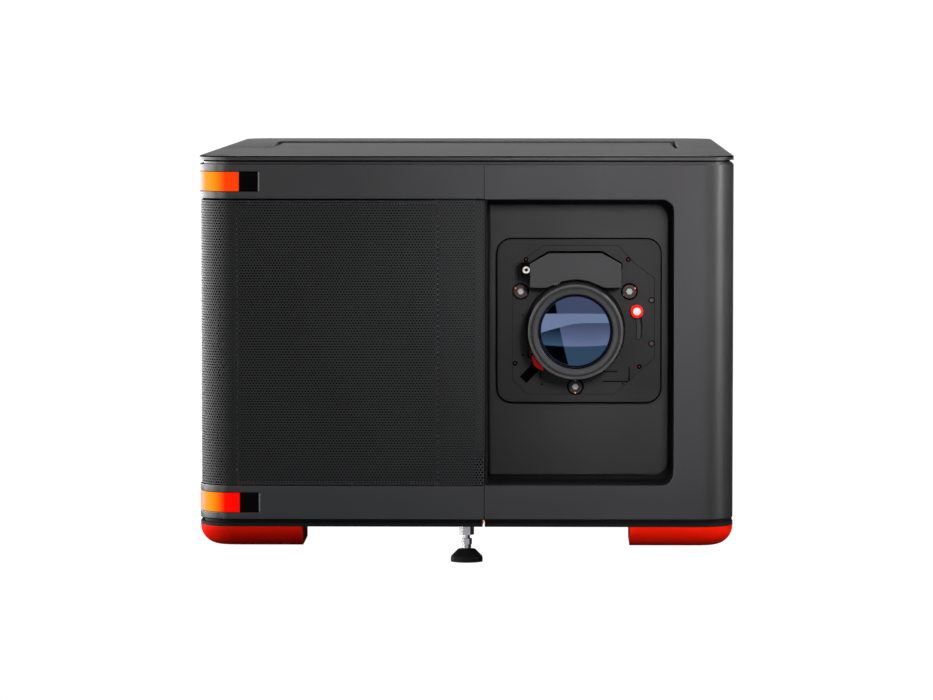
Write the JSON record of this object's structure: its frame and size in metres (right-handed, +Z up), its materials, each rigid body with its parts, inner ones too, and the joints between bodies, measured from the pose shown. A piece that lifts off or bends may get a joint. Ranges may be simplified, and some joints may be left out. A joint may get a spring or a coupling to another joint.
{
  "type": "laser projector",
  "caption": "Large boxy laser projector with a recessed shiftable lens, a perforated intake grille, corner status lights, orange skids and levelling feet.",
  "frame": {"origin": "on the floor under the middle of the body", "axes": "+Z up, +Y from the lens face to the rear panel, +X to the right seen from the front"},
  "size_m": [0.7566, 1.13, 0.58],
  "materials": {
    "cover_paint": "fine satin powder coat, dark anthracite",
    "lid_paint": "fine satin powder coat, dark anthracite",
    "chassis_black": "matt black",
    "grille_black": "matt black perforated sheet",
    "filter_foam": "open black filter foam",
    "bay_grey": "matt dark grey",
    "light_orange": "clear orange diffuser",
    "window_black": "black glossy window",
    "skid_orange": "satin orange red",
    "bright_steel": "plated steel",
    "pad_rubber": "black rubber",
    "fan_plastic": "matt black",
    "cast_alloy": "cast and machined",
    "barrel_black": "black anodised",
    "coated_glass": "violet blue antireflection coating",
    "board_green": "solder mask"
  },
  "bodies": {
    "body": {"base_plate": "chassis_black", "chassis_frame": "chassis_black", "foot_bosses": "bright_steel", "front_cover": "cover_paint", "upper_band": "cover_paint", "lower_band": "cover_paint", "right_side_panel": "cover_paint", "rear_panel": "cover_paint", "top_front_cover": "lid_paint", "top_rear_frame": "lid_paint", "status_lights": "light_orange", "status_windows": "window_black", "corner_skids": "skid_orange", "bay_tunnel": "chassis_black", "bay_panel": "bay_grey", "fan_housings": "chassis_black", "radiator": "cast_alloy", "light_engine": "cast_alloy", "imaging_block": "coated_glass", "laser_modules": "cast_alloy", "power_supplies": "cast_alloy", "circuit_boards": "board_green", "rear_connectors": "cast_alloy", "power_inlet": "fan_plastic", "cover_screws": "bright_steel", "guide_rods": "bright_steel", "door_hinge_rod": "bright_steel"},
    "grille": {"intake_grille": "grille_black", "air_filter": "filter_foam"},
    "door": {"service_door": "cover_paint"},
    "latch": {"door_latch": "bright_steel"},
    "hatch": {"top_hatch": "lid_paint"},
    "lower_fan": {"intake_fan_lower": "fan_plastic"},
    "upper_fan": {"intake_fan_upper": "fan_plastic"},
    "rear_fan": {"exhaust_fan": "fan_plastic"},
    "stage": {"lift_stage": "cast_alloy"},
    "lead_screw": {"lift_screw": "bright_steel"},
    "lens": {"lens_plate": "bay_grey", "lens_barrel": "barrel_black", "motor_housing": "bay_grey", "front_glass": "coated_glass", "alignment_camera": "window_black"},
    "focus": {"focus_ring": "barrel_black"},
    "zoom": {"zoom_ring": "barrel_black"},
    "focus_drive": {"focus_pinion": "bright_steel"},
    "zoom_drive": {"zoom_pinion": "bright_steel"},
    "focus_group": {"focus_glass": "coated_glass"},
    "lens_lock": {"lock_lever": "bay_grey"},
    "adjuster_1": {"adjuster_screw_1": "bright_steel"},
    "adjuster_2": {"adjuster_screw_2": "bright_steel"},
    "adjuster_3": {"adjuster_screw_3": "bright_steel"},
    "shutter": {"shutter_blade": "cast_alloy"},
    "rocker": {"power_switch": "fan_plastic"},
    "standby": {"standby_button": "fan_plastic"},
    "front_stem": {"foot_stem_front": "bright_steel"},
    "front_pad": {"foot_pad_front": "pad_rubber"},
    "rear_left_stem": {"foot_stem_rear_left": "bright_steel"},
    "rear_left_pad": {"foot_pad_rear_left": "pad_rubber"},
    "rear_right_stem": {"foot_stem_rear_right": "bright_steel"},
    "rear_right_pad": {"foot_pad_rear_right": "pad_rubber"}
  },
  "joints": [
    {"name": "grille_lift_off", "type": "slide", "parent": "body", "child": "grille", "axis": [0, -1, 0], "range_m": [0, 0.06]},
    {"name": "door_swing", "type": "hinge", "parent": "body", "child": "door", "pos_m": [-0.37225, 0.447, 0.317], "axis": [0, 0, -1], "range_deg": [0, 95]},
    {"name": "latch_turn", "type": "hinge", "parent": "door", "child": "latch", "pos_m": [-0.37825, -0.425, 0.317], "axis": [1, 0, 0], "range_deg": [0, 90]},
    {"name": "hatch_lift_off", "type": "slide", "parent": "body", "child": "hatch", "axis": [0, 0, 1], "range_m": [0, 0.05]},
    {"name": "lower_fan_spin", "type": "hinge", "parent": "body", "child": "lower_fan", "pos_m": [-0.182, -0.458, 0.218], "axis": [0, 1, 0], "continuous": true},
    {"name": "upper_fan_spin", "type": "hinge", "parent": "body", "child": "upper_fan", "pos_m": [-0.182, -0.458, 0.416], "axis": [0, 1, 0], "continuous": true},
    {"name": "rear_fan_spin", "type": "hinge", "parent": "body", "child": "rear_fan", "pos_m": [-0.19, 0.544, 0.35], "axis": [0, 1, 0], "continuous": true},
    {"name": "lens_lift", "type": "slide", "parent": "body", "child": "stage", "axis": [0, 0, 1], "range_m": [-0.03, 0.02]},
    {"name": "lift_screw_spin", "type": "hinge", "parent": "body", "child": "lead_screw", "pos_m": [0.0797, -0.455, 0.29], "axis": [0, 0, 1], "range_deg": [-1170, 810]},
    {"name": "lens_shift", "type": "slide", "parent": "stage", "child": "lens", "axis": [1, 0, 0], "range_m": [-0.008, 0.008]},
    {"name": "zoom_turn", "type": "hinge", "parent": "lens", "child": "zoom", "pos_m": [0.1547, -0.491, 0.3316], "axis": [0, 1, 0], "range_deg": [-45, 45]},
    {"name": "zoom_pinion_turn", "type": "hinge", "parent": "lens", "child": "zoom_drive", "pos_m": [0.18478, -0.491, 0.40605], "axis": [0, 1, 0], "range_deg": [-320, 320]},
    {"name": "focus_turn", "type": "hinge", "parent": "lens", "child": "focus", "pos_m": [0.1547, -0.509, 0.3316], "axis": [0, 1, 0], "range_deg": [-45, 45]},
    {"name": "focus_pinion_turn", "type": "hinge", "parent": "lens", "child": "focus_drive", "pos_m": [0.12462, -0.509, 0.40605], "axis": [0, 1, 0], "range_deg": [-320, 320]},
    {"name": "focus_travel", "type": "slide", "parent": "lens", "child": "focus_group", "axis": [0, -1, 0], "range_m": [-0.005, 0.005]},
    {"name": "lock_swing", "type": "hinge", "parent": "lens", "child": "lens_lock", "pos_m": [0.1547, -0.4765, 0.3316], "axis": [0, 1, 0], "range_deg": [0, 23]},
    {"name": "adjuster_turn_1", "type": "hinge", "parent": "lens", "child": "adjuster_1", "pos_m": [0.0767, -0.479, 0.3846], "axis": [0, 1, 0], "range_deg": [-180, 180]},
    {"name": "adjuster_turn_2", "type": "hinge", "parent": "lens", "child": "adjuster_2", "pos_m": [0.2317, -0.479, 0.3846], "axis": [0, 1, 0], "range_deg": [-180, 180]},
    {"name": "adjuster_turn_3", "type": "hinge", "parent": "lens", "child": "adjuster_3", "pos_m": [0.1547, -0.479, 0.2486], "axis": [0, 1, 0], "range_deg": [-180, 180]},
    {"name": "shutter_swing", "type": "hinge", "parent": "body", "child": "shutter", "pos_m": [0.215, -0.149, 0.37], "axis": [0, 1, 0], "range_deg": [0, 60]},
    {"name": "rocker_tilt", "type": "hinge", "parent": "body", "child": "rocker", "pos_m": [0.16, 0.558, 0.115], "axis": [1, 0, 0], "range_deg": [-8, 8]},
    {"name": "button_press", "type": "slide", "parent": "body", "child": "standby", "axis": [0, -1, 0], "range_m": [0, 0.002], "stiffness_N_per_m": 400},
    {"name": "front_foot_height", "type": "slide", "parent": "body", "child": "front_stem", "axis": [0, 0, -1], "range_m": [0, 0.02]},
    {"name": "front_pad_tilt", "type": "hinge", "parent": "front_stem", "child": "front_pad", "pos_m": [0, -0.499, 0.0146], "axis": [1, 0, 0], "range_deg": [-6, 6]},
    {"name": "rear_left_foot_height", "type": "slide", "parent": "body", "child": "rear_left_stem", "axis": [0, 0, -1], "range_m": [0, 0.02]},
    {"name": "rear_left_pad_tilt", "type": "hinge", "parent": "rear_left_stem", "child": "rear_left_pad", "pos_m": [-0.205, 0.48, 0.0146], "axis": [1, 0, 0], "range_deg": [-6, 6]},
    {"name": "rear_right_foot_height", "type": "slide", "parent": "body", "child": "rear_right_stem", "axis": [0, 0, -1], "range_m": [0, 0.02]},
    {"name": "rear_right_pad_tilt", "type": "hinge", "parent": "rear_right_stem", "child": "rear_right_pad", "pos_m": [0.205, 0.48, 0.0146], "axis": [1, 0, 0], "range_deg": [-6, 6]}
  ],
  "couplings": [
    {"joint": "lift_screw_spin", "follows": "lens_lift", "rad_per_m": 628.32},
    {"joint": "zoom_pinion_turn", "follows": "zoom_turn", "ratio": -7},
    {"joint": "focus_pinion_turn", "follows": "focus_turn", "ratio": -7},
    {"joint": "focus_travel", "follows": "focus_turn", "m_per_rad": 0.006}
  ]
}
